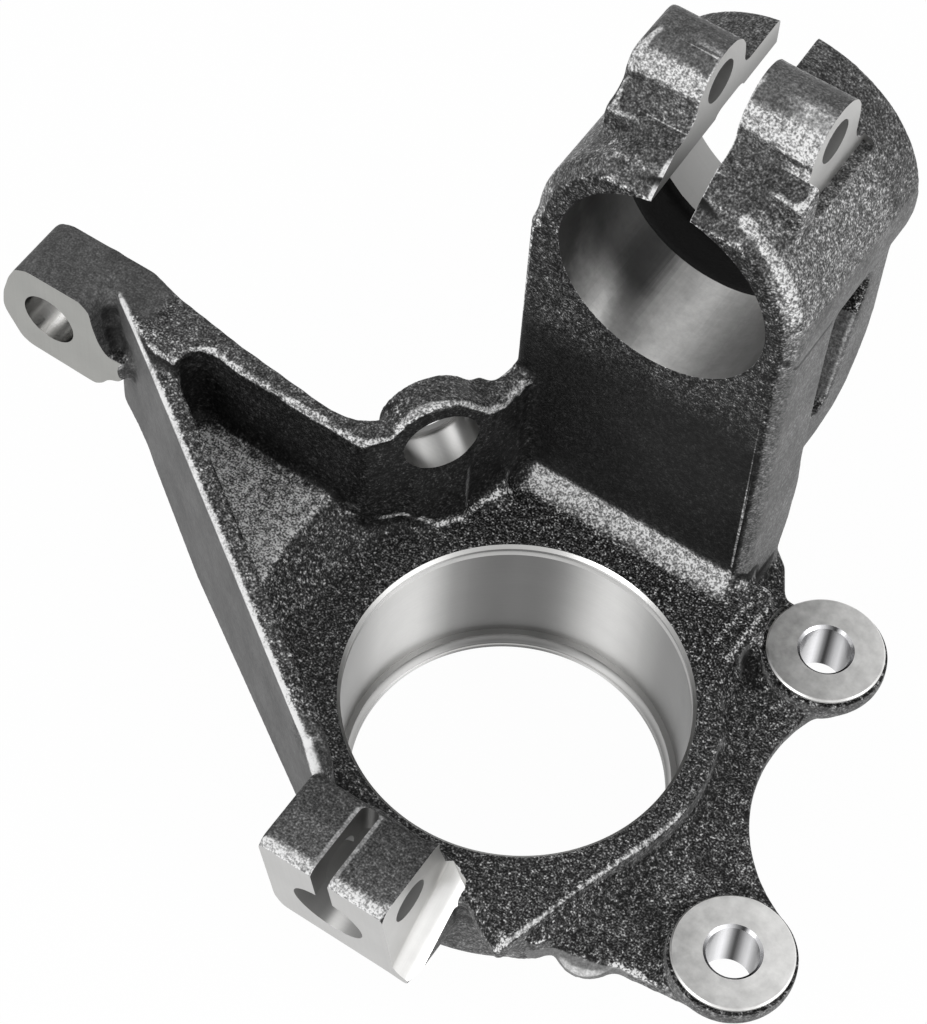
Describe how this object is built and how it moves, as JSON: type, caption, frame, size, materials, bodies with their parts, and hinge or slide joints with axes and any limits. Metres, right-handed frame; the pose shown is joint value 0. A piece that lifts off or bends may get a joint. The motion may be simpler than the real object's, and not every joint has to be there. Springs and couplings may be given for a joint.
{
  "type": "steering knuckle",
  "caption": "Cast iron steering knuckle: a bearing ring with a strut clamp, a ball joint clamp, a steering arm with a sensor hole, and ears for a brake caliper.",
  "frame": {"origin": "where the axis of the bearing bore meets the inboard face of the hub ring", "axes": "+Z runs along the bearing axis away from the wheel, +Y runs along the strut bore away from the ball joint clamp, +X points to the caliper ears"},
  "size_m": [0.2469, 0.1815, 0.1848],
  "materials": {
    "casting": "satin"
  },
  "bodies": {
    "root": {"knuckle": "casting"}
  },
  "joints": []
}
